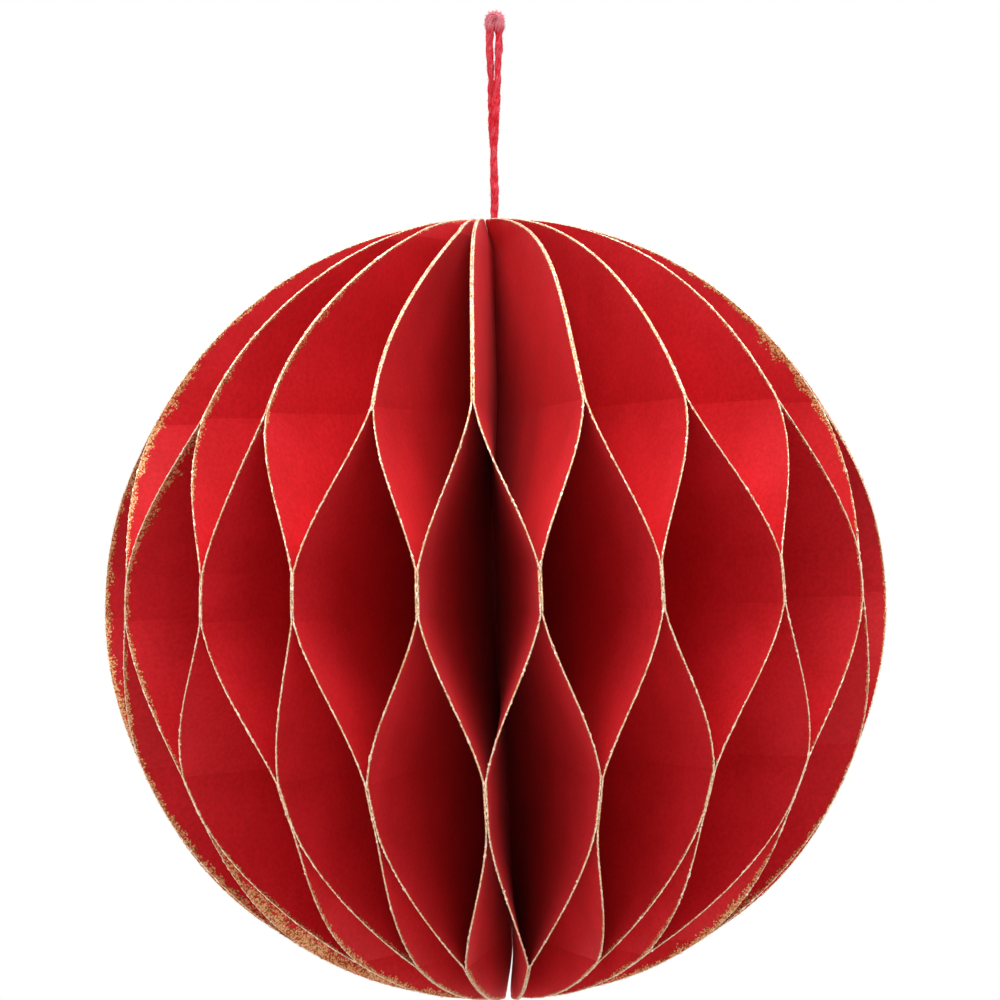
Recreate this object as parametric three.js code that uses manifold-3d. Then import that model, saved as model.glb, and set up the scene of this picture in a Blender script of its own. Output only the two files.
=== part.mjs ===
// A hanging honeycomb paper ball with a cord loop.
//
// The ball is a ring of D-shaped card leaves that stand on edge round a hollow spine. Each leaf is glued
// to one neighbour in one set of level strips, and to its other neighbour in a second set half a pitch
// lower or higher. Opened out, the stack makes lens-shaped cells, as a honeycomb does. A cord is knotted
// inside the top of the spine and comes back up as a loop.
//
// Units are millimetres, +Z is up, and the origin is where a hook bears, inside the bend of the loop.

import * as THREE from 'three';
import { mergeVertices } from 'three/addons/utils/BufferGeometryUtils.js';
import Module from 'manifold-3d';

// Ball and card
const ballRadius = 75;
const cardThickness = 0.3;
const glueLine = 0.1;

// Cells: the leaves are drawn apart least where the ball faces the front. Each group of cells has a count
// and one width in degrees, and the groups follow one another from the front round by the right.
const frontCellAngle = 16.2;
const frontCellsStartAngle = -42.8;
const cellGroups = [
  [4, frontCellAngle],
  [3, 19.68],
  [4, 22.1],
  [6, 18.06],
  [2, 19.7],
];

// How far the joints that face the front were pulled aside when the ball was opened by hand, in degrees
// at the rim. The first row is the cell before the narrow ones. The joints of the upper set have a value
// on the dome, at their upper strip and at their lower one, and the joints of the middle set have one at
// their middle strip and one at the bottom.
const upperJointPulls = [
  [9, 1.5, -1.5],
  [6, -1.5, 1.5],
  [9, 1, -0.5],
  [-1, 0, 0],
  [4.5, 0.5, 0],
  [-0.5, -0.5, -0.5],
  [3, 0.5, -0.5],
  [0, -2.5, 0],
];
const middleJointPulls = [
  [-1, 0],
  [0, 0.5],
  [-0.5, 3],
  [0.5, -0.5],
  [0, -0.5],
  [0, 1.5],
  [0, -4],
  [1, 0],
];
const domePullHeight = 70;
const fullPullWidth = 12;

// Glued strips: heights are measured from the ball's centre
const stripPitch = 35.9;
const stripHeight = 8.2;
const middleStripCentre = 4.8;
const bendSharpness = 0.6;
const lowestTurnDelay = 1.6;

// Straight edge of a leaf, at the spine
const spineClearance = 0.05;
const cornerRadius = 0.8;
const topFlare = 0.5;
const topFlareLength = 5;
const bottomFlare = 2.5;
const bottomFlareLength = 9;

// The spine isn't quite straight: it bows to the right in the upper half and again in the lower one
const upperBow = 1.4;
const upperBowHeights = [15, 45, 66, 76.5];
const lowerBow = 1;
const lowerBowHeights = [-75.5, -66, -35, -8];

// How the ball hangs: the cord leaves the spine beside its axis, so the ball leans a little
const hookToBallTop = 39.5;
const ballLeanAngle = 2;

// Cord
const cordDiameter = 1.5;
const knotClearance = 0.3;
const knotDepth = 10;
const cordSides = 8;
const cordSteps = 72;

// How finely the curves are cut
const stepsBetweenStrips = 6;
const stepsInTopDome = 9;
const stepsInBottomDome = 6;
const cornerStepAngles = [0, 40, 75];

const { clamp, degToRad: radians, lerp, smoothstep } = THREE.MathUtils;
const leafLayer = cardThickness + glueLine;
const spineRadius = (2 * leafLayer + spineClearance) / radians(frontCellAngle);
const knotRadius = spineRadius - knotClearance;
const ballCentre = new THREE.Vector3(0, 0, -hookToBallTop - ballRadius);
const ballTurn = new THREE.Euler(0, -radians(ballLeanAngle), 0);

const card = new THREE.MeshStandardMaterial({ color: 0xb3141f, roughness: 0.75, metalness: 0 });
const yarn = new THREE.MeshStandardMaterial({ color: 0xc8283c, roughness: 0.9, metalness: 0 });

// The two sets of strips. The upper set closes the leaves from its lower edge to the top pole, and the
// lower set from its upper edge to the bottom pole, as no further strip fits on the ball there.
const halfStrip = stripHeight / 2;
const lowerEdgeOfTopStrip = middleStripCentre + stripPitch - halfStrip;
const middleStrip = [middleStripCentre - halfStrip, middleStripCentre + halfStrip];
const lowerStrip = middleStrip.map((edge) => edge - stripPitch);
const upperEdgeOfBottomStrip = middleStripCentre - 2 * stripPitch + halfStrip;

// The level stretches where a leaf turns from a joint of one set to a joint of the other
const creasedTurn = (share) => lerp(smoothstep(share, 0, 1), share, bendSharpness);
const delayedTurn = (share) => 1 - (1 - share) ** lowestTurnDelay;
const turns = [
  { low: upperEdgeOfBottomStrip, high: lowerStrip[0], from: 1, to: 0, shape: delayedTurn },
  { low: lowerStrip[1], high: middleStrip[0], from: 0, to: 1, shape: creasedTurn },
  { low: middleStrip[1], high: lowerEdgeOfTopStrip, from: 1, to: 0, shape: creasedTurn },
];

// How far a leaf has turned at a height: 0 in the upper set's joints, 1 in the middle set's joints.
// A turn is partly straight, so the leaf creases at the glue, and partly a smooth S. The lowest turn
// leaves its upper strip slowly and creases only at the bottom.
function turnAt(height) {
  if (height <= turns[0].low) return 1;
  for (const { low, high, from, to, shape } of turns) {
    if (height <= low) return from;
    if (height < high) return from + (to - from) * shape((height - low) / (high - low));
  }
  return 0;
}

// The pull on a joint of the upper set at a height: it grows up the dome
function upperPullAt([dome, upper, lower], height) {
  const upperCentre = middleStripCentre + stripPitch;
  const lowerCentre = middleStripCentre - stripPitch;
  const strips = lerp(lower, upper, smoothstep(height, lowerCentre, upperCentre));
  const rise = clamp((height - upperCentre) / (domePullHeight - upperCentre), 0, 1);
  return lerp(strips, dome, rise ** 2);
}

// The pull on a joint of the middle set at a height
function middlePullAt([middle, bottom], height) {
  return lerp(bottom, middle, smoothstep(height, upperEdgeOfBottomStrip, middleStripCentre));
}

// Distance of the leaf's straight edge from the spine's axis: it flares near both poles
function straightEdge(height) {
  const fromTop = clamp((height - ballRadius) / topFlareLength + 1, 0, 1);
  const fromBottom = clamp(1 - (height + ballRadius) / bottomFlareLength, 0, 1);
  return spineRadius + topFlare * fromTop ** 2 + bottomFlare * fromBottom ** 2;
}

// How far the spine's bow carries it to the right at a height
function spineBow(height) {
  const bowOver = ([low, full, stillFull, high]) => (
    smoothstep(height, low, full) * (1 - smoothstep(height, stillFull, high))
  );
  return upperBow * bowOver(upperBowHeights) + lowerBow * bowOver(lowerBowHeights);
}

// The rounded corner where the straight edge meets the round one, as an arc inside both.
// side is 1 at the top and -1 at the bottom.
function cornerArc(side) {
  const flare = side > 0 ? topFlare : bottomFlare;
  const across = spineRadius + flare + cornerRadius;
  const along = side * Math.sqrt((ballRadius - cornerRadius) ** 2 - across ** 2);
  return { across, along };
}

// The leaf's level cuts from the bottom corner to the top one, each with its inner and outer distance
function leafCuts() {
  const heights = [];
  const spread = (low, high, steps, shape) => {
    for (let step = 0; step < steps; step += 1) heights.push(shape(low + ((high - low) * step) / steps));
  };
  const level = (height) => height;
  const onDome = (angle) => ballRadius * Math.sin(angle);
  const bottomCorner = cornerArc(-1);
  const topCorner = cornerArc(1);
  const domeAngle = (height) => Math.asin(height / ballRadius);
  spread(domeAngle(bottomCorner.along), domeAngle(turns[0].low), stepsInBottomDome, onDome);
  for (const turn of turns) {
    spread(turn.low, turn.high, stepsBetweenStrips, level);
    heights.push(turn.high);
  }
  heights.pop();
  spread(domeAngle(turns[2].high), domeAngle(topCorner.along), stepsInTopDome, onDome);

  const cuts = heights.slice(1).map((height) => ({
    height,
    inner: straightEdge(height),
    outer: Math.sqrt(ballRadius ** 2 - height ** 2),
  }));
  const cornerCut = (corner, side, angle) => {
    const height = corner.along + side * cornerRadius * Math.sin(radians(angle));
    const inset = cornerRadius * Math.cos(radians(angle));
    const onBall = ballRadius ** 2 - height ** 2;
    const tangent = (Math.abs(corner.along) * ballRadius) / (ballRadius - cornerRadius);
    const outer = Math.abs(height) < tangent ? Math.sqrt(onBall) : corner.across + inset;
    return { height, inner: corner.across - inset, outer };
  };
  const bottomCuts = cornerStepAngles.map((angle) => cornerCut(bottomCorner, -1, angle)).reverse();
  const topCuts = cornerStepAngles.map((angle) => cornerCut(topCorner, 1, angle));
  return [...bottomCuts, ...cuts, ...topCuts];
}

// One leaf as a closed solid. At each height the card's middle surface runs straight from the spine to
// the rim, at an angle that turns from the leaf's upper-set joint to its middle-set joint, half a leaf
// and half a glue line to its own side of each joint. Only the rim end is pulled aside, and less where
// the leaf is narrow, at the poles, and only the spine end follows the spine's bow. Both faces lie half
// a thickness off that surface.
function leafGeometry(upperJoint, middleJoint, cuts) {
  const side = Math.sign(middleJoint.angle - upperJoint.angle) * (leafLayer / 2);
  const middle = (distance, height, pulled) => {
    const turn = turnAt(height);
    const upperAngle = upperJoint.angle + pulled * upperPullAt(upperJoint.pulls, height);
    const middleAngle = middleJoint.angle + pulled * middlePullAt(middleJoint.pulls, height);
    const angle = radians(lerp(upperAngle, middleAngle, turn));
    const outward = new THREE.Vector3(Math.cos(angle), Math.sin(angle), 0);
    const sideways = new THREE.Vector3(-Math.sin(angle), Math.cos(angle), 0);
    const end = outward.multiplyScalar(distance).addScaledVector(sideways, side * (1 - 2 * turn));
    return end.setX(end.x + spineBow(height) * (1 - pulled)).setZ(height);
  };
  const lines = cuts.map(({ height, inner, outer }) => {
    const pulled = Math.min((outer - inner) / fullPullWidth, 1);
    return [middle(inner, height, 0), middle(outer, height, pulled)];
  });

  const positions = [];
  lines.forEach((line, index) => {
    const across = line[1].clone().sub(line[0]);
    const below = lines[Math.max(index - 1, 0)];
    const above = lines[Math.min(index + 1, lines.length - 1)];
    for (const face of [1, -1]) {
      line.forEach((end, which) => {
        const normal = above[which].clone().sub(below[which]).cross(across).normalize();
        const corner = end.clone().addScaledVector(normal, (face * cardThickness) / 2);
        positions.push(corner.x, corner.y, corner.z);
      });
    }
  });

  // Corners of each cut, in order round the card's section. Both faces are split from the spine up
  // towards the rim, so the faces of two glued leaves are split alike and stay a glue line apart.
  const ring = [0, 1, 3, 2];
  const triangles = [];
  for (let index = 0; index + 1 < cuts.length; index += 1) {
    for (let corner = 0; corner < ring.length; corner += 1) {
      const here = 4 * index + ring[corner];
      const next = 4 * index + ring[(corner + 1) % ring.length];
      if (corner < 2) triangles.push(here, here + 4, next + 4, here, next + 4, next);
      else triangles.push(here, here + 4, next, next, here + 4, next + 4);
    }
  }
  const last = 4 * (cuts.length - 1);
  triangles.push(0, 1, 3, 0, 3, 2, last, last + 3, last + 1, last, last + 2, last + 3);

  const geometry = new THREE.BufferGeometry();
  geometry.setAttribute('position', new THREE.Float32BufferAttribute(positions, 3));
  geometry.setIndex(triangles);
  geometry.computeVertexNormals();
  return geometry;
}

// The joints of both sets round the spine. Angles are in degrees and positive to the right of the ball's
// front, which faces -Y. A cell lies between two joints of the middle set, with one of the upper set
// halfway between them.
function buildJoints() {
  const frontDirection = -90;
  const widths = cellGroups.flatMap(([count, width]) => Array(count).fill(width));
  const pullsOf = (rows, joint) => rows[(joint + 1) % widths.length] ?? rows[0].map(() => 0);
  const middleSet = [{ angle: frontDirection + frontCellsStartAngle, pulls: pullsOf(middleJointPulls, 0) }];
  const upperSet = [];
  widths.forEach((width, cell) => {
    const start = middleSet[cell].angle;
    upperSet.push({ angle: start + width / 2, pulls: pullsOf(upperJointPulls, cell) });
    middleSet.push({ angle: start + width, pulls: pullsOf(middleJointPulls, cell + 1) });
  });
  return { upperSet, middleSet };
}

function buildBall() {
  const ball = new THREE.Group();
  ball.position.copy(ballCentre);
  ball.rotation.copy(ballTurn);
  const { upperSet, middleSet } = buildJoints();
  const cuts = leafCuts();
  upperSet.forEach((upperJoint, cell) => {
    [middleSet[cell], middleSet[cell + 1]].forEach((middleJoint, half) => {
      const leaf = new THREE.Mesh(leafGeometry(upperJoint, middleJoint, cuts), card.clone());
      leaf.name = `leaf_${String(2 * cell + half + 1).padStart(2, '0')}`;
      ball.add(leaf);
    });
  });
  return ball;
}

// Route of the cord's middle: up from the knot, over the hook, and back down beside itself. The strands
// lie side by side at the bend and turn until one hangs behind the other.
const cordRoute = [
  [-0.8, 0.35, -48.6],
  [-0.85, 0.75, -45.5],
  [-0.7, 0.85, -42],
  [-0.1, 0.9, -38.5],
  [0.15, 0.85, -34],
  [0.3, 0.9, -28],
  [-0.25, 0.85, -22],
  [-0.35, 0.85, -17.5],
  [-0.7, 0.65, -13],
  [-1.1, 0.3, -8.5],
  [-1.3, 0.05, -4],
  [-1.25, 0, -1],
  [-0.85, 0, 0.35],
  [0, 0, 0.75],
  [0.85, 0, 0.35],
  [1.25, 0, -1],
  [1.2, -0.05, -4],
  [1, -0.35, -8.5],
  [0.75, -0.65, -13],
  [0.4, -0.85, -17.5],
  [0.3, -0.9, -22],
  [-0.3, -0.85, -28],
  [0.1, -0.9, -34],
  [-0.1, -0.85, -38.5],
  [-0.7, -0.85, -42],
  [-0.85, -0.75, -45.5],
  [-0.8, -0.35, -48.6],
];

// A closed mesh as a solid that can be joined to another
function toSolid(wasm, geometry) {
  const bare = geometry.clone();
  bare.deleteAttribute('normal');
  bare.deleteAttribute('uv');
  const merged = mergeVertices(bare, 1e-4);
  const corners = merged.index ? merged.index.array : merged.attributes.position.array.map((_, i) => i);
  return new wasm.Manifold(new wasm.Mesh({
    numProp: 3,
    vertProperties: new Float32Array(merged.attributes.position.array),
    triVerts: new Uint32Array(corners),
  }));
}

// The cord with its knot: two strands that meet in a round knot, which fills the spine's hollow
async function buildCord() {
  const wasm = await Module();
  wasm.setup();
  const route = new THREE.CatmullRomCurve3(cordRoute.map((point) => new THREE.Vector3(...point)));
  const section = new THREE.Shape();
  section.absarc(0, 0, cordDiameter / 2, 0, 2 * Math.PI);
  const strand = new THREE.ExtrudeGeometry(section, {
    extrudePath: route,
    steps: cordSteps,
    curveSegments: cordSides,
  });
  const knot = new THREE.SphereGeometry(knotRadius, 14, 10);
  const knotHeight = ballRadius - knotDepth;
  const knotCentre = new THREE.Vector3(spineBow(knotHeight), 0, knotHeight).applyEuler(ballTurn).add(ballCentre);
  knot.translate(knotCentre.x, knotCentre.y, knotCentre.z);
  const joined = toSolid(wasm, strand).add(toSolid(wasm, knot)).getMesh();
  const geometry = new THREE.BufferGeometry();
  geometry.setAttribute('position', new THREE.Float32BufferAttribute(joined.vertProperties, 3));
  geometry.setIndex(Array.from(joined.triVerts));
  geometry.computeVertexNormals();
  const cord = new THREE.Mesh(geometry, yarn);
  cord.name = 'hanging_cord';
  return cord;
}

const bauble = new THREE.Group();
bauble.name = 'paper_bauble';
bauble.add(buildBall(), await buildCord());

export default bauble;
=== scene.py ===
# A hanging honeycomb ball of red card leaves with glittered edges, on a loop of fuzzy yarn.
# Everything is in metres. The origin is inside the bend of the loop, where a hook bears.

from math import cos, radians, sin

import bpy
import numpy as np
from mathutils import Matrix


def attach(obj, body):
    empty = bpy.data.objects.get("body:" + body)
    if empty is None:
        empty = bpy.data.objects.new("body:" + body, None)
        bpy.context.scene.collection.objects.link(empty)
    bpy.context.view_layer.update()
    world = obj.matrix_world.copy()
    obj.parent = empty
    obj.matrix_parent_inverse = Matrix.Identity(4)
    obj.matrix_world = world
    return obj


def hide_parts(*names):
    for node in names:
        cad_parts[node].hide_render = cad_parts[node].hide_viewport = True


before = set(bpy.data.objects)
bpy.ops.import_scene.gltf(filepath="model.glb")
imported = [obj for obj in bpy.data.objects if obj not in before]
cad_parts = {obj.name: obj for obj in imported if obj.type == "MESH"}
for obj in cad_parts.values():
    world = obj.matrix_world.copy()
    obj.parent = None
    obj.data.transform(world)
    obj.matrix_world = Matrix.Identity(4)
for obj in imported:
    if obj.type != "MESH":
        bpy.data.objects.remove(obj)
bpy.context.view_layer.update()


# The camera stands well back from the ball, a little above its middle, and looks slightly up so that the
# ball sits low in the picture with its cord above it.

BALL_RADIUS = 0.075
BALL_CENTRE = np.array([0, 0, -0.1145])
CAMERA_DISTANCE = 6.5 * BALL_RADIUS
CAMERA_ABOVE = radians(1.8)
CAMERA_LOOKS_UP = radians(0.64)
CAMERA_TURNS_RIGHT = radians(0.096)
LENS_MM, SENSOR_MM = 90.17, 36

camera = bpy.data.objects.new("camera", bpy.data.cameras.new("camera"))
camera.location = BALL_CENTRE + CAMERA_DISTANCE * np.array([0, -cos(CAMERA_ABOVE), sin(CAMERA_ABOVE)])
camera.rotation_euler = (radians(90) + CAMERA_LOOKS_UP, 0, -CAMERA_TURNS_RIGHT)
camera.data.lens = LENS_MM
camera.data.sensor_width = SENSOR_MM
camera.data.clip_start = 0.01
bpy.context.collection.objects.link(camera)
bpy.context.scene.camera = camera


# The cord is one length of soft acrylic craft yarn, a loose bundle of hardly twisted strands, fuzzy all
# over. It is doubled into a loop, brushed up where it hung, and both ends go down into the top of the
# ball's hollow spine, to a knot.

YARN_DIAMETER = 0.0015
YARN_LENGTH = 0.0994
YARN_LAY = 0.021
ROUTE_STEPS = 300
BRUSHED_GROWTH, BRUSHED_REACH = 0.7, 0.0032
CORE_RADIUS, CORE_GROWTH, CORE_GROWS_OVER = 0.00053, 0.0003, 1.1
STRAND_COUNT = 19
STRAND_RADIUS = 0.00012
STRANDS_OUT = 0.00055
FIBRE_COUNT = 4800
FIBRE_START = 0.00004
FIBRE_REACH = 0.0008
FIBRE_RADIUS = 0.000028
FIBRE_TAPER = np.array([1, 1, 0.7, 0.05])
FIBRE_SIDES = 3
BEND_STEPS = 5
KNOT_DEPTH = 0.010
BALL_LEAN = radians(2)

YARN_ROUTE = np.array([
    (-0.00085, 0.00035, -0.0486),
    (-0.00095, 0.00075, -0.0455),
    (-0.0009, 0.00085, -0.042),
    (-0.0004, 0.0009, -0.0385),
    (-0.00035, 0.00085, -0.034),
    (-0.00035, 0.0009, -0.028),
    (-0.00072, 0.00085, -0.0215),
    (-0.0008, 0.00085, -0.0175),
    (-0.0009, 0.00065, -0.013),
    (-0.0011, 0.0003, -0.0085),
    (-0.00122, 0.00005, -0.004),
    (-0.00108, 0.00003, -0.0014),
    (-0.00095, 0, 0.0001),
    (-0.00025, 0, 0.0005),
    (0.00045, 0, 0.0001),
    (0.00058, -0.00003, -0.0014),
    (0.0006, -0.00005, -0.004),
    (0.00045, -0.00035, -0.0085),
    (0.00028, -0.00065, -0.013),
    (0.00005, -0.00085, -0.0175),
    (-0.00002, -0.0009, -0.0215),
    (-0.0004, -0.00085, -0.028),
    (-0.00012, -0.0009, -0.034),
    (-0.0003, -0.00085, -0.0385),
    (-0.0009, -0.00085, -0.042),
    (-0.00095, -0.00075, -0.0455),
    (-0.00085, -0.00035, -0.0486),
])


def unit(vectors):
    """Each vector divided by its length"""
    return vectors / np.linalg.norm(vectors, axis=-1, keepdims=True)


def smooth_route(points, steps):
    """A Catmull-Rom curve through the points: between two points it is the cubic whose slope at each is
    half the step between that point's neighbours. Evenly spaced points of it are returned."""
    padded = np.vstack([2 * points[0] - points[1], points, 2 * points[-1] - points[-2]])
    share = np.linspace(0, 1, 24, endpoint=False)[None, :, None]
    before, here, after, beyond = (padded[k:k + len(points) - 1, None] for k in range(4))
    curve = here + share * (after - before) / 2
    curve = curve + share ** 2 * (before - 2.5 * here + 2 * after - beyond / 2)
    curve = curve + share ** 3 * (1.5 * here - before / 2 - 1.5 * after + beyond / 2)
    curve = np.vstack([curve.reshape(-1, 3), points[-1]])
    along = np.r_[0, np.cumsum(np.linalg.norm(np.diff(curve, axis=0), axis=1))]
    spaced = np.linspace(0, along[-1], steps)
    return np.stack([np.interp(spaced, along, curve[:, axis]) for axis in range(3)], axis=1)


def side_directions(path):
    """Two unit directions square to the path at each point. The first leans as little as it can from
    world Y, so that the pair doesn't spin about the path."""
    along = unit(np.gradient(path, axis=0))
    first = np.array([0, 1, 0]) - along * along[:, 1:2]
    first = unit(first)
    return first, np.cross(along, first)


def tube(path, radius, sides, first, second):
    """Rings of points round a path: centre + radius (first cos a + second sin a). Both ends close on the
    centre of their last ring."""
    angle = np.linspace(0, 2 * np.pi, sides, endpoint=False)[None, :, None]
    radius = np.broadcast_to(radius, len(path))[:, None, None]
    rings = path[:, None] + radius * (first[:, None] * np.cos(angle) + second[:, None] * np.sin(angle))
    corners = np.vstack([rings.reshape(-1, 3), path[:1], path[-1:]])
    ring, side = np.meshgrid(np.arange(len(path) - 1), np.arange(sides), indexing="ij")
    here, beside = ring * sides + side, ring * sides + (side + 1) % sides
    walls = np.stack([here, beside, beside + sides, here + sides], axis=-1).reshape(-1, 4)
    side = np.arange(sides)
    last = (len(path) - 1) * sides
    start = np.stack([np.full(sides, len(corners) - 2), (side + 1) % sides, side], axis=1)
    end = np.stack([np.full(sides, len(corners) - 1), last + side, last + (side + 1) % sides], axis=1)
    return corners, [*walls.tolist(), *start.tolist(), *end.tolist()]


def build_mesh(name, parts):
    """One mesh object at the origin from (corners, faces) parts"""
    corners, faces, start = [], [], 0
    for points, polygons in parts:
        corners.append(points)
        faces += [[start + corner for corner in polygon] for polygon in polygons]
        start += len(points)
    mesh = bpy.data.meshes.new(name)
    mesh.from_pydata(np.vstack(corners), [], faces)
    mesh.polygons.foreach_set("use_smooth", np.ones(len(faces), bool))
    piece = bpy.data.objects.new(name, mesh)
    bpy.context.collection.objects.link(piece)
    return piece


def brushed_up(path):
    """How thick the yarn is, in shares of its usual radius: slow lumps all along as a sum of sines, and
    1.7 round the bend of the loop, as a flat-topped bell curve of the distance along the yarn"""
    along = YARN_LENGTH * np.linspace(0, 1, len(path))
    lumps = 0.06 * np.sin(along / 0.0009 + 1) + 0.07 * np.sin(along / 0.0021)
    lumps = lumps + 0.05 * np.sin(along / 0.00055)
    return 1 + lumps + BRUSHED_GROWTH * np.exp(-((along - YARN_LENGTH / 2) / BRUSHED_REACH) ** 6)


def core_radius(path):
    """The radius that the yarn's inner fibres fill, which grows most where it is brushed up"""
    loose = brushed_up(path)
    return CORE_RADIUS * loose + CORE_GROWTH * np.maximum(loose - CORE_GROWS_OVER, 0)


def yarn_strands(path, seed):
    """The yarn's body: a soft core, and round it strands whose centres are path + r (first cos a + second
    sin a). Along each, a makes one turn in a lay and wanders as a sum of sines, and so does r."""
    rng = np.random.default_rng(seed)
    first, second = side_directions(path)
    along = np.linspace(0, YARN_LENGTH, len(path))
    loose = brushed_up(path)
    parts = [tube(path, core_radius(path), 12, first, second)]
    for strand in range(STRAND_COUNT):
        phase = rng.uniform(0, 2 * np.pi, 4)
        wander = 0.35 * np.sin(along / 0.0011 + phase[0]) + 0.5 * np.sin(along / 0.0031 + phase[1])
        angle = 2 * np.pi * (along / YARN_LAY + strand / STRAND_COUNT) + wander
        radius = 1 + 0.12 * np.sin(along / 0.0009 + phase[2]) + 0.1 * np.sin(along / 0.0035 + phase[3])
        radius = (STRANDS_OUT * radius * loose)[:, None]
        centre = path + radius * (first * np.cos(angle)[:, None] + second * np.sin(angle)[:, None])
        parts.append(tube(centre, STRAND_RADIUS * loose, 6, first, second))
    return parts


def loose_fibres(path, seed):
    """Fibres that stand off the yarn, a third of them at the brushed-up bend: each starts just off the
    core and follows a quadratic curve outwards and along, so at a share s its centre is
    start + out (s - s^2 / 2) + drift s^2. They are three-sided, nearly drawn to a point, and thicker than
    real ones so that they show."""
    rng = np.random.default_rng(seed)
    first, second = side_directions(path)
    along = unit(np.gradient(path, axis=0))
    place = rng.integers(0, len(path), FIBRE_COUNT)
    at_bend = FIBRE_COUNT // 3
    place[:at_bend] = rng.normal(len(path) / 2, BEND_STEPS, at_bend).astype(int)
    angle = rng.uniform(0, 2 * np.pi, FIBRE_COUNT)[:, None]
    out = first[place] * np.cos(angle) + second[place] * np.sin(angle)
    sideways = np.cross(along[place], out)
    reach = FIBRE_REACH * rng.uniform(0.25, 1, FIBRE_COUNT)[:, None] ** 2.2
    drift = along[place] * rng.normal(0, 0.7, FIBRE_COUNT)[:, None]
    drift = (drift + sideways * rng.normal(0, 0.6, FIBRE_COUNT)[:, None]) * reach
    share = np.linspace(0, 1, len(FIBRE_TAPER))[None, :, None]
    start = path[place] + out * (core_radius(path) + FIBRE_START)[place, None]
    centre = start[:, None] + (out * reach)[:, None] * (share - share ** 2 / 2)
    centre = centre + drift[:, None] * share ** 2
    thick = FIBRE_RADIUS * FIBRE_TAPER[None, :, None, None]
    turn = np.radians(360 / FIBRE_SIDES * np.arange(FIBRE_SIDES))[None, None, :, None]
    across = unit(np.cross(out, along[place]))[:, None, None]
    upward = along[place][:, None, None]
    rings = centre[:, :, None] + thick * (across * np.cos(turn) + upward * np.sin(turn))
    corners = rings.reshape(-1, 3)
    ring_count, sides = len(FIBRE_TAPER), np.arange(FIBRE_SIDES)
    per_fibre = ring_count * FIBRE_SIDES
    fibres, rings = np.arange(FIBRE_COUNT), np.arange(ring_count - 1)
    fibre, ring, side = np.meshgrid(fibres, rings, sides, indexing="ij")
    here = fibre * per_fibre + ring * FIBRE_SIDES + side
    beside = fibre * per_fibre + ring * FIBRE_SIDES + (side + 1) % FIBRE_SIDES
    walls = np.stack([here, beside, beside + FIBRE_SIDES, here + FIBRE_SIDES], axis=-1).reshape(-1, 4)
    near_end = fibres[:, None] * per_fibre + sides[::-1]
    far_end = (fibres[:, None] + 1) * per_fibre - FIBRE_SIDES + sides
    return corners, [*walls.tolist(), *near_end.tolist(), *far_end.tolist()]


def paint(hex_code):
    """An sRGB hex colour as linear RGBA"""
    srgb = np.array([int(hex_code[k:k + 2], 16) for k in (1, 3, 5)]) / 255
    return (*np.where(srgb <= 0.04045, srgb / 12.92, ((srgb + 0.055) / 1.055) ** 2.4), 1)


def node(material, kind, inputs=None, **settings):
    """Adds a shader node with its settings. Each input is given a value or another node's output."""
    made = material.node_tree.nodes.new("ShaderNode" + kind)
    for name, value in settings.items():
        setattr(made, name, value)
    for socket, value in (inputs or {}).items():
        if isinstance(value, bpy.types.NodeSocket):
            material.node_tree.links.new(value, made.inputs[socket])
        else:
            made.inputs[socket].default_value = value
    return made.outputs


def colour_ramp(material, value, *stops):
    """A colour that runs with a value through stops, each a position and an sRGB hex colour"""
    colour = node(material, "ValToRGB", {"Fac": value})["Color"]
    ramp = colour.node.color_ramp
    ramp.elements[0].position, ramp.elements[0].color = stops[0][0], paint(stops[0][1])
    ramp.elements[1].position, ramp.elements[1].color = stops[-1][0], paint(stops[-1][1])
    for position, hex_code in stops[1:-1]:
        ramp.elements.new(position).color = paint(hex_code)
    return colour


def new_material(name):
    """A material with an empty node tree"""
    material = bpy.data.materials.new(name)
    material.use_nodes = True
    material.node_tree.nodes.clear()
    return material


# Crimson acrylic yarn: dull and soft, in redder and pinker streaks, and painted much lighter pink towards
# the top of the loop, a painted highlight where the overhead light falls on the bend
yarn = new_material("crimson_acrylic_yarn")
position = node(yarn, "TexCoord")["Object"]
strands = node(yarn, "TexNoise", {"Vector": position, "Scale": 1 / 0.0011, "Detail": 5.0})["Fac"]
streaks = colour_ramp(yarn, strands, (0.36, "#fb142c"), (0.68, "#ff6e7e"))
# Painted highlight: above a set height, at the top of the loop, the colour is mixed towards pale pink
height = node(yarn, "SeparateXYZ", {"Vector": position})["Z"]
painted_highlight_at_top = node(yarn, "MapRange", {"Value": height, "From Min": -0.0028, "From Max": -0.0012})["Result"]
streaks_and_painted_highlight = node(yarn, "Mix", {"Factor": painted_highlight_at_top, 6: streaks, 7: paint("#ff9ca8")}, data_type="RGBA")[2]
yarn_bump = node(yarn, "Bump", {"Height": strands, "Strength": 0.5, "Distance": 0.0001})["Normal"]
yarn_surface = node(yarn, "BsdfPrincipled", {
    "Base Color": streaks_and_painted_highlight,
    "Roughness": 0.85,
    "Specular IOR Level": 0.3,
    "Sheen Weight": 0.5,
    "Sheen Roughness": 0.6,
    "Sheen Tint": paint("#ff7a8a"),
    "Normal": yarn_bump,
})["BSDF"]
node(yarn, "OutputMaterial", {"Surface": yarn_surface})

route = smooth_route(YARN_ROUTE, ROUTE_STEPS)
cord = build_mesh("yarn_loop", [*yarn_strands(route, 5), loose_fibres(route, 11)])
cord.data.materials.append(yarn)
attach(cord, "root")
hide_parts("hanging_cord")

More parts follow.
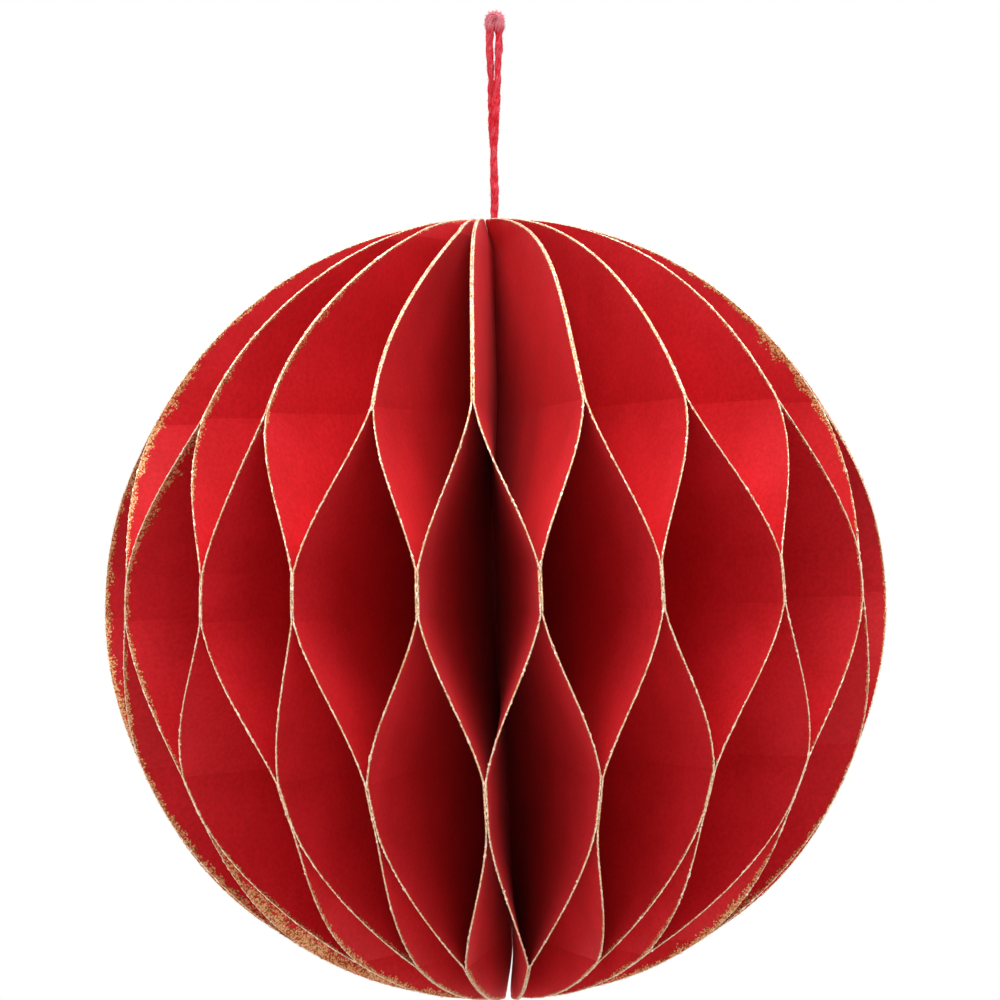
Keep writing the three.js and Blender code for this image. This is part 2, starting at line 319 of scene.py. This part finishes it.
# The knot is a trefoil of the same yarn, drawn tight in the spine under the top of the ball
KNOT_SCALE, KNOT_TALLNESS = 0.00062, 1.4
SPINE_BOW_AT_KNOT = 0.0016
knot_height = BALL_RADIUS - KNOT_DEPTH
knot_centre = BALL_CENTRE + np.array([
    SPINE_BOW_AT_KNOT * cos(BALL_LEAN) - knot_height * sin(BALL_LEAN), 0,
    SPINE_BOW_AT_KNOT * sin(BALL_LEAN) + knot_height * cos(BALL_LEAN)])
turn = np.linspace(0, 2 * np.pi, 160)
trefoil = np.stack([
    np.sin(turn) + 2 * np.sin(2 * turn),
    np.cos(turn) - 2 * np.cos(2 * turn),
    -KNOT_TALLNESS * np.sin(3 * turn),
], axis=1)
knot_path = knot_centre + KNOT_SCALE * trefoil
knot = build_mesh("yarn_knot", [tube(knot_path, YARN_DIAMETER / 2, 12, *side_directions(knot_path))])
knot.data.materials.append(yarn)
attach(knot, "root")


# Each leaf is a D of stiff red card, 0.3 mm thick, that stands on edge between the spine and the ball's
# surface. It is glued to its neighbours in level strips by turns, creases at the ends of the strips and
# turns from one neighbour to the other between them. Its cut edge was dipped in glitter.

CARD_THICKNESS = 0.0003
GLUE_LINE = 0.0001
FRONT_CELL = 16.2
CELL_WIDTHS = 4 * [FRONT_CELL] + 3 * [19.68] + 4 * [22.1] + 6 * [18.06] + 2 * [19.7]
FIRST_JOINT = -42.8
FRONT = -90

STRIP_PITCH = 0.0359
STRIP_HEIGHT = 0.0082
MIDDLE_STRIP = 0.0048
CREASE_SHARPNESS = 0.6
LOWEST_TURN_DELAY = 1.6

# How far each joint near the front was pulled aside at the rim, in degrees, as in the part's source: the
# upper set on the dome, at its upper strip and at its lower one, the middle set at its strip and below
UPPER_PULLS = [(9, 1.5, -1.5), (6, -1.5, 1.5), (9, 1, -0.5), (-1, 0, 0),
               (4.5, 0.5, 0), (-0.5, -0.5, -0.5), (3, 0.5, -0.5), (0, -2.5, 0)]
MIDDLE_PULLS = [(-1, 0), (0, 0.5), (-0.5, 3), (0.5, -0.5), (0, -0.5), (0, 1.5), (0, -4), (1, 0)]
DOME_PULL_HEIGHT = 0.070
FULL_PULL_WIDTH = 0.012

SPINE_CLEARANCE = 0.00005
LAYER = CARD_THICKNESS + GLUE_LINE
SPINE_RADIUS = (2 * LAYER + SPINE_CLEARANCE) / radians(FRONT_CELL)
CORNER_RADIUS = 0.0008
TOP_FLARE, TOP_FLARE_LENGTH = 0.0001, 0.005
BOTTOM_FLARE, BOTTOM_FLARE_LENGTH = 0.0025, 0.009
UPPER_BOW, UPPER_BOW_HEIGHTS = 0.0016, (0.015, 0.045, 0.068, 0.0765)
LOWER_BOW, LOWER_BOW_HEIGHTS = 0.0010, (-0.0755, -0.066, -0.035, -0.008)

# The walls of the front cell, leaves 6 and 7, lean together at the top to narrow the slit between them.
# At 0.15 mm each they cut into each other.
FRONT_LEANS = {6: 0.00007, 7: -0.00007}
LEAN_HEIGHTS = (0.058, 0.071)

BOTTOM_STEPS, TURN_STEPS, STRIP_STEPS, DOME_STEPS = 22, 30, 5, 44
HALF_STRIP = STRIP_HEIGHT / 2
BOTTOM_TURN = (MIDDLE_STRIP - 2 * STRIP_PITCH + HALF_STRIP, MIDDLE_STRIP - STRIP_PITCH - HALF_STRIP)
RISING_TURN = (MIDDLE_STRIP - STRIP_PITCH + HALF_STRIP, MIDDLE_STRIP - HALF_STRIP)
TOP_TURN = (MIDDLE_STRIP + HALF_STRIP, MIDDLE_STRIP + STRIP_PITCH - HALF_STRIP)


def ramp(value, low, high):
    """0 below low and 1 above high, straight between"""
    return np.clip((value - low) / (high - low), 0, 1)


def ease(share):
    """3 s^2 - 2 s^3"""
    return share ** 2 * (3 - 2 * share)


def turned(height):
    """0 in the upper set's joints and 1 in the middle set's. A turn is 0.6 s + 0.4 ease(s), which leaves
    a crease at both its ends, and the lowest one is (1 - s)^1.6, with its crease at the bottom."""
    crease = lambda s: CREASE_SHARPNESS * s + (1 - CREASE_SHARPNESS) * ease(s)
    lowest = (1 - ramp(height, *BOTTOM_TURN)) ** LOWEST_TURN_DELAY
    return lowest + crease(ramp(height, *RISING_TURN)) - crease(ramp(height, *TOP_TURN))


def upper_pull(pulls, height):
    """The upper set's pull in degrees: eased from the lower strip to the upper one, and then growing as
    the square of the rise up the dome"""
    dome, upper, lower = pulls
    low, high = MIDDLE_STRIP - STRIP_PITCH, MIDDLE_STRIP + STRIP_PITCH
    strips = lower + (upper - lower) * ease(ramp(height, low, high))
    return strips + (dome - strips) * ramp(height, high, DOME_PULL_HEIGHT) ** 2


def middle_pull(pulls, height):
    """The middle set's pull in degrees, eased from the bottom strips to the middle one"""
    middle, bottom = pulls
    return bottom + (middle - bottom) * ease(ramp(height, BOTTOM_TURN[0], MIDDLE_STRIP))


def spine_bow(height):
    """How far the spine stands to the right of the ball's axis: b ease(up) (1 - ease(down)) in each
    half"""
    def share(low, full, still, high):
        return ease(ramp(height, low, full)) * (1 - ease(ramp(height, still, high)))
    return UPPER_BOW * share(*UPPER_BOW_HEIGHTS) + LOWER_BOW * share(*LOWER_BOW_HEIGHTS)


def leaf_outline():
    """Height, inner and outer distance of a leaf's level lines. The outer edge is the circle
    sqrt(R^2 - z^2), the inner one is straight and flares near the poles, and a small arc rounds both
    corners between them."""
    corner_angles = np.radians(np.linspace(0, 84, 7))
    ends = []
    for side, flare in ((-1, BOTTOM_FLARE), (1, TOP_FLARE)):
        across = SPINE_RADIUS + flare + CORNER_RADIUS
        along = side * np.sqrt((BALL_RADIUS - CORNER_RADIUS) ** 2 - across ** 2)
        height = along + side * CORNER_RADIUS * np.sin(corner_angles)
        inset = CORNER_RADIUS * np.cos(corner_angles)
        tangent = abs(along) * BALL_RADIUS / (BALL_RADIUS - CORNER_RADIUS)
        circle = np.sqrt(np.maximum(BALL_RADIUS ** 2 - height ** 2, 0))
        outer = np.where(np.abs(height) < tangent, circle, across + inset)
        order = slice(None, None, side)
        ends.append((height[order], (across - inset)[order], outer[order]))
    low, high = ends[0][0][-1], ends[1][0][0]
    dome = lambda start, stop, steps: BALL_RADIUS * np.sin(
        np.linspace(np.arcsin(start / BALL_RADIUS), np.arcsin(stop / BALL_RADIUS), steps)[1:])
    height = np.concatenate([
        dome(low, BOTTOM_TURN[0], BOTTOM_STEPS),
        np.linspace(*BOTTOM_TURN, TURN_STEPS)[1:],
        np.linspace(BOTTOM_TURN[1], RISING_TURN[0], STRIP_STEPS)[1:],
        np.linspace(*RISING_TURN, TURN_STEPS)[1:],
        np.linspace(RISING_TURN[1], TOP_TURN[0], STRIP_STEPS)[1:],
        np.linspace(*TOP_TURN, TURN_STEPS)[1:],
        dome(TOP_TURN[1], high, DOME_STEPS)[:-1],
    ])
    from_top = ramp(height, BALL_RADIUS - TOP_FLARE_LENGTH, BALL_RADIUS)
    from_bottom = 1 - ramp(height, -BALL_RADIUS, BOTTOM_FLARE_LENGTH - BALL_RADIUS)
    inner = SPINE_RADIUS + TOP_FLARE * from_top ** 2 + BOTTOM_FLARE * from_bottom ** 2
    outer = np.sqrt(BALL_RADIUS ** 2 - height ** 2)
    middle = (height, inner, outer)
    return [np.concatenate([ends[0][k], middle[k], ends[1][k]]) for k in range(3)]


HEIGHT, INNER, OUTER = leaf_outline()


def leaf_line_end(distance, upper, middle, side, pulled):
    """One end of each level line, round the ball's axis: distance e(a) + side (1 - 2 w) n(a), where w is
    how far the leaf has turned and a runs from the upper joint's angle to the middle one's with w. An end
    that isn't pulled aside with the rim follows the spine's bow."""
    share = turned(HEIGHT)
    start = upper["angle"] + pulled * upper_pull(upper["pulls"], HEIGHT)
    stop = middle["angle"] + pulled * middle_pull(middle["pulls"], HEIGHT)
    angle = np.radians(start + (stop - start) * share)
    aside = side * (1 - 2 * share)
    return np.stack([
        distance * np.cos(angle) - aside * np.sin(angle) + spine_bow(HEIGHT) * (1 - pulled),
        distance * np.sin(angle) + aside * np.cos(angle),
        HEIGHT,
    ], axis=1)


def leaned(points):
    """Points round the spine's axis, turned by the ball's lean and moved to its centre"""
    x, y, z = np.moveaxis(points, -1, 0)
    return BALL_CENTRE + np.stack([
        x * cos(BALL_LEAN) - z * sin(BALL_LEAN), y, x * sin(BALL_LEAN) + z * cos(BALL_LEAN)], axis=-1)


ACROSS_STEPS = 9
GRAIN = 0.00042
CRUST_SIDES = 8
CRUST_WIDTH = 0.00011
CRUST_HEIGHT = 0.00011
CRUST_LEAN = 0.7
CRUST_STRAY = 0.00003
CRUST_SUNK = 0.35
CORNER_ROUGHNESS, RING_ROUGHNESS = 0.35, 0.25
LUMP_GROWTH, LUMP_CHANCE = 1.1, 0.05
SWELL, SWELL_LENGTH = 0.15, 0.004
CRUST_LIMITS = (0.4, 2.6)


def card_grid(inner, outer):
    """Both faces of the card: inner + u (outer - inner), half a thickness along the surface's normal to
    either side, as one closed grid that runs out on one face and back on the other"""
    share = np.linspace(0, 1, ACROSS_STEPS)[None, :, None]
    surface = inner[:, None] + share * (outer - inner)[:, None]
    upward = np.gradient(surface, axis=0)
    normal = unit(np.cross(upward, (outer - inner)[:, None]))
    faces = [surface + normal * CARD_THICKNESS / 2, surface - normal * CARD_THICKNESS / 2]
    return np.concatenate([faces[0], faces[1][:, ::-1]], axis=1), normal[:, -1]


def closed_rings(grid):
    """Quads of a grid whose rows are closed rings, with a fan of triangles over both ends"""
    rows, sides = grid.shape[:2]
    row, side = np.meshgrid(np.arange(rows - 1), np.arange(sides), indexing="ij")
    here, beside = row * sides + side, row * sides + (side + 1) % sides
    quads = np.stack([here, here + sides, beside + sides, beside], axis=-1).reshape(-1, 4)
    side = np.arange(1, sides - 1)
    start = np.stack([np.zeros_like(side), side, side + 1], axis=1)
    end = (rows - 1) * sides + start[:, ::-1]
    return quads.tolist(), [*start.tolist(), *end.tolist()]


def glitter_crust(outer, normal, rng):
    """The crust of glitter on the cut edge: a ring round the edge, carried along it in steps of one grain,
    whose radius and place jump from grain to grain. It swells slowly and has the odd lump."""
    along = np.r_[0, np.cumsum(np.linalg.norm(np.diff(outer, axis=0), axis=1))]
    steps = np.arange(0, along[-1], GRAIN)

    def carry(values):
        return np.stack([np.interp(steps, along, values[:, axis]) for axis in range(3)], axis=1)

    outward = unit(np.cross(normal, np.gradient(outer, axis=0)))
    edge, across, aside = carry(outer), unit(carry(outward)), unit(carry(normal))
    angle = np.linspace(0, 2 * np.pi, CRUST_SIDES, endpoint=False)[None, :, None]
    rough = 1 + rng.normal(0, CORNER_ROUGHNESS, (len(steps), CRUST_SIDES, 1))
    rough = rough + rng.normal(0, RING_ROUGHNESS, (len(steps), 1, 1))
    lump = 1 + LUMP_GROWTH * (rng.random((len(steps), 1, 1)) < LUMP_CHANCE)
    swell = 1 + SWELL * np.sin(steps / SWELL_LENGTH + rng.uniform(0, 6))[:, None, None]
    radius = np.clip(rough * lump * swell, *CRUST_LIMITS)
    ring = across[:, None] * np.cos(angle) * CRUST_HEIGHT
    ring = ring + aside[:, None] * np.sin(angle) * CRUST_WIDTH
    strayed = edge + aside * rng.normal(0, CRUST_STRAY, (len(steps), 1))
    return strayed[:, None] - CRUST_SUNK * CRUST_HEIGHT * across[:, None] + ring * radius


# Where gold dust lies on the ball: degrees to the right of the front, height, and its reach in from the
# rim in millimetres. The first twenty-one places show in the front view, the others are a guess.
DUST_PLACES = [
    (-68, 0.037, 2.0), (-62, 0.022, 0.6), (-52, 0.036, 1.3), (-38, 0.053, 1.0), (-82, 0.006, 0.8),
    (-70, -0.012, 0.8), (-80, -0.022, 1.1), (-72, -0.040, 1.0), (-64, -0.054, 1.2), (-60, -0.064, 1.3),
    (-55, -0.070, 1.4), (-85, -0.066, 0.7), (-25, -0.067, 1.4), (-68, 0.052, 0.9), (61, 0.046, 1.2),
    (77, 0.041, 1.1), (84, -0.004, 0.8), (36, -0.062, 1.0), (62, -0.058, 0.9), (85, 0.012, 0.5),
    (-48, -0.052, 0.5), (115, 0.020, 1.5), (150, -0.045, 1.6), (180, 0.045, 1.0), (-150, 0.000, 1.4),
    (-120, 0.050, 1.6), (-115, -0.040, 1.8), (170, -0.010, 0.8), (105, -0.050, 1.2),
]
DUST_AREA = (radians(12), 0.013)
LEAST_DUST = 0.26
DUST_ON_A_FACE = (0.3, 1.3)


def dust_reach(points):
    """How far in from the rim dust lies: the least reach, plus a bell curve round each dusted place"""
    turn = np.arctan2(points[:, 0], -points[:, 1])
    reach = np.full(len(points), LEAST_DUST)
    for place, height, more in DUST_PLACES:
        aside = np.angle(np.exp(1j * (turn - radians(place)))) / DUST_AREA[0]
        reach = reach + more * np.exp(-aside ** 2 - ((points[:, 2] - height) / DUST_AREA[1]) ** 2)
    return reach


def build_leaf(name, upper, middle, lean, seed):
    """One leaf with its crust. Each point carries how far in from the rim it is, and how far dust reaches
    there. Towards the top, the leaf's inner end leans aside by an eased share of its lean."""
    rng = np.random.default_rng(seed)
    side = np.sign(middle["angle"] - upper["angle"]) * LAYER / 2
    pulled = np.minimum((OUTER - INNER) / FULL_PULL_WIDTH, 1)
    inner = leaf_line_end(INNER, upper, middle, side, 0)
    inner[:, 0] += lean * ease(ramp(HEIGHT, *LEAN_HEIGHTS))
    outer = leaf_line_end(OUTER, upper, middle, side, pulled)
    card, normal = card_grid(inner, outer)
    edge = leaf_line_end(OUTER, upper, middle, CRUST_LEAN * side, pulled)
    crust = glitter_crust(edge, normal, rng)
    card_quads, card_ends = closed_rings(card)
    crust_quads, crust_ends = closed_rings(crust)
    corners = np.vstack([card.reshape(-1, 3), crust.reshape(-1, 3)])
    offset = card.shape[0] * card.shape[1]
    card_faces = card_quads + card_ends
    faces = card_faces + [[offset + corner for corner in face] for face in crust_quads + crust_ends]
    mesh = bpy.data.meshes.new(name)
    mesh.from_pydata(leaned(corners), [], faces)
    in_from_rim = BALL_RADIUS - np.linalg.norm(corners, axis=1)
    dusted = dust_reach(corners)
    dusted[:offset] *= np.tile(np.repeat(rng.uniform(*DUST_ON_A_FACE, 2), ACROSS_STEPS), len(HEIGHT))
    for label, values in (("in_from_rim", in_from_rim * 1000), ("dusted", dusted)):
        attribute = mesh.attributes.new(label, "FLOAT", "POINT")
        attribute.data.foreach_set("value", values.astype(np.float32))
    slots = np.r_[np.zeros(len(card_faces), int), np.ones(len(faces) - len(card_faces), int)]
    mesh.polygons.foreach_set("material_index", slots)
    mesh.polygons.foreach_set("use_smooth", slots == 0)
    mesh.set_sharp_from_angle(angle=radians(7))
    mesh.materials.append(red_card)
    mesh.materials.append(glitter)
    piece = bpy.data.objects.new(name, mesh)
    bpy.context.collection.objects.link(piece)
    return piece


# Stiff card dyed red right through: matt and fine-grained, with a faint bloom at a low angle
red_card = new_material("dyed_red_card")
position = node(red_card, "TexCoord")["Object"]
fibres = node(red_card, "TexNoise", {"Vector": position, "Scale": 1 / 0.0007, "Detail": 5.0})["Fac"]
cloudy = node(red_card, "TexNoise", {"Vector": position, "Scale": 1 / 0.012, "Detail": 3.0})["Fac"]
mottle = node(red_card, "Math", {0: fibres, 1: cloudy}, operation="ADD")["Value"]
mottle = node(red_card, "Math", {0: mottle, 1: 0.5}, operation="MULTIPLY")["Value"]
reds = colour_ramp(red_card, mottle, (0.35, "#d5171f"), (0.65, "#ee2531"))

# Gold dust that missed the edge: small round grains, crowded at the rim and soon gone, each painted bright
# in the middle as a painted highlight and brown towards its edge as painted shade. The real grains look
# 0.1 to
# 0.2 mm wide, and are drawn at 0.3 mm to show.
rim = node(red_card, "Attribute", attribute_name="in_from_rim")["Fac"]
dusted = node(red_card, "Attribute", attribute_name="dusted")["Fac"]
grain = node(red_card, "TexVoronoi", {"Vector": position, "Scale": 1 / 0.0003}, feature="F1")
chance = node(red_card, "SeparateColor", {"Color": grain["Color"]})
patches = node(red_card, "TexNoise", {"Vector": position, "Scale": 1 / 0.003, "Detail": 3.0})["Fac"]
patchy = node(red_card, "MapRange", {
    "Value": patches, "From Min": 0.35, "From Max": 0.65, "To Min": 0.45, "To Max": 1.3})["Result"]
spread = node(red_card, "Math", {0: patchy, 1: dusted}, operation="MULTIPLY")["Value"]
reach = node(red_card, "Math", {0: rim, 1: spread}, operation="DIVIDE")["Value"]
fade = node(red_card, "MapRange", {
    "Value": reach, "From Min": 0.35, "From Max": 1.3, "To Min": 0.97, "To Max": 0.0})["Result"]
is_dust = node(red_card, "Math", {0: chance["Red"], 1: fade}, operation="LESS_THAN")["Value"]
# Painted highlight and shade on each grain: its random colour darkens with the distance from its centre
tone_with_painted_shade = node(red_card, "Math", {0: chance["Green"], 1: grain["Distance"]}, operation="SUBTRACT")["Value"]
darker = node(red_card, "MapRange", {
    "Value": reach, "From Max": 1.4, "To Min": 0.65, "To Max": 0.3})["Result"]
tone_with_painted_shade = node(red_card, "Math", {0: tone_with_painted_shade, 1: darker}, operation="ADD")["Value"]
golds = colour_ramp(red_card, tone_with_painted_shade, (0.15, "#9c4822"), (0.45, "#e69e62"), (1.0, "#f8d4a0"))
metal = node(red_card, "Math", {0: is_dust, 1: 0.6}, operation="MULTIPLY")["Value"]
card_colour = node(red_card, "Mix", {"Factor": is_dust, 6: reds, 7: golds}, data_type="RGBA")[2]
card_bump = node(red_card, "Bump", {"Height": fibres, "Strength": 0.25, "Distance": 0.00005})["Normal"]
card_surface = node(red_card, "BsdfPrincipled", {
    "Base Color": card_colour,
    "Roughness": 0.6,
    "Specular IOR Level": 0.25,
    "Metallic": metal,
    "Sheen Weight": 0.06,
    "Sheen Roughness": 0.5,
    "Sheen Tint": paint("#ffc8cc"),
    "Normal": card_bump,
})["BSDF"]
node(red_card, "OutputMaterial", {"Surface": card_surface})

# Glitter glued to the cut edge: cream and pale gold flakes, each tilted its own way
glitter = new_material("cream_gold_glitter")
position = node(glitter, "TexCoord")["Object"]
flakes = node(glitter, "TexVoronoi", {"Vector": position, "Scale": 1 / 0.00025}, feature="F1")["Color"]
flake_parts = node(glitter, "SeparateColor", {"Color": flakes})
flake_colour = colour_ramp(
    glitter, flake_parts["Red"], (0.0, "#efb088"), (0.38, "#ffe8cc"), (1.0, "#fff7e6"))
centred = node(glitter, "VectorMath", {0: flakes, 1: (-0.5, -0.5, -0.5)}, operation="ADD")["Vector"]
tilt = node(glitter, "VectorMath", {0: centred, "Scale": 0.9}, operation="SCALE")["Vector"]
upright = node(glitter, "NewGeometry")["Normal"]
tilted = node(glitter, "VectorMath", {0: upright, 1: tilt}, operation="ADD")["Vector"]
flake_normal = node(glitter, "VectorMath", {0: tilted}, operation="NORMALIZE")["Vector"]
glitter_surface = node(glitter, "BsdfPrincipled", {
    "Base Color": flake_colour,
    "Roughness": 0.35,
    "Metallic": 0.8,
    "Normal": flake_normal,
})["BSDF"]
node(glitter, "OutputMaterial", {"Surface": glitter_surface})


def pulls_of(rows, joint):
    """The pulls of a joint. The rows start one joint before the first, and the others weren't pulled."""
    row = (joint + 1) % len(CELL_WIDTHS)
    return rows[row] if row < len(rows) else [0] * len(rows[0])


middle_joints = [{"angle": FRONT + FIRST_JOINT, "pulls": pulls_of(MIDDLE_PULLS, 0)}]
for cell, width in enumerate(CELL_WIDTHS):
    first_angle = middle_joints[cell]["angle"]
    upper_joint = {"angle": first_angle + width / 2, "pulls": pulls_of(UPPER_PULLS, cell)}
    middle_joints.append({"angle": first_angle + width, "pulls": pulls_of(MIDDLE_PULLS, cell + 1)})
    for half, middle_joint in enumerate(middle_joints[cell:cell + 2]):
        number = 2 * cell + half + 1
        lean = FRONT_LEANS.get(number, 0)
        leaf = build_leaf(f"card_leaf_{number:02d}", upper_joint, middle_joint, lean, 100 + number)
        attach(leaf, "root")
        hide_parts(f"leaf_{number:02d}")


# The ball hangs over a pale floor, in a bright white room with a big soft light overhead and a weak one at
# each side.

FLOOR_DROP = 0.060
FLOOR_RADIUS = 0.2

floor_height = BALL_CENTRE[2] - BALL_RADIUS - FLOOR_DROP
bpy.ops.mesh.primitive_circle_add(
    vertices=96, radius=FLOOR_RADIUS, fill_type="NGON", location=(0, 0, floor_height))
floor = bpy.context.object
floor.name = "floor"
pale_floor = new_material("pale_painted_floor")
floor_surface = node(pale_floor, "BsdfPrincipled", {
    "Base Color": paint("#f0eeec"),
    "Roughness": 0.7,
})["BSDF"]
node(pale_floor, "OutputMaterial", {"Surface": floor_surface})
floor.data.materials.append(pale_floor)


def soft_light(name, size, power, place):
    """A square area light that faces the ball"""
    light = bpy.data.objects.new(name, bpy.data.lights.new(name, "AREA"))
    light.data.size = size
    light.data.energy = power
    light.location = BALL_CENTRE + np.array(place)
    towards = bpy.data.objects.new(name + "_aim", None)
    towards.location = BALL_CENTRE
    aim = light.constraints.new("TRACK_TO")
    aim.target, aim.track_axis, aim.up_axis = towards, "TRACK_NEGATIVE_Z", "UP_Y"
    bpy.context.collection.objects.link(light)
    bpy.context.collection.objects.link(towards)


soft_light("overhead_light", 0.9, 9.3, (0, -0.15, 0.9))
soft_light("left_light", 0.7, 0.9, (-0.9, -0.35, 0.25))
soft_light("right_light", 0.7, 0.5, (0.9, -0.35, 0.25))

world = bpy.data.worlds.new("white_room")
world.use_nodes = True
world.node_tree.nodes.clear()
bpy.context.scene.world = world
rays = node(world, "LightPath")
seen = rays["Is Camera Ray"]
for kind_of_ray in ("Is Glossy Ray", "Is Transmission Ray"):
    seen = node(world, "Math", {0: seen, 1: rays[kind_of_ray]}, operation="MAXIMUM")["Value"]
room_light = node(world, "Background", {"Color": paint("#ffffff"), "Strength": 0.49})["Background"]
white_wall = node(world, "Background", {"Color": paint("#ffffff"), "Strength": 1.0})["Background"]
room = node(world, "MixShader", {"Fac": seen, 1: room_light, 2: white_wall})["Shader"]
node(world, "OutputWorld", {"Surface": room})

bpy.context.scene.view_settings.view_transform = "Standard"
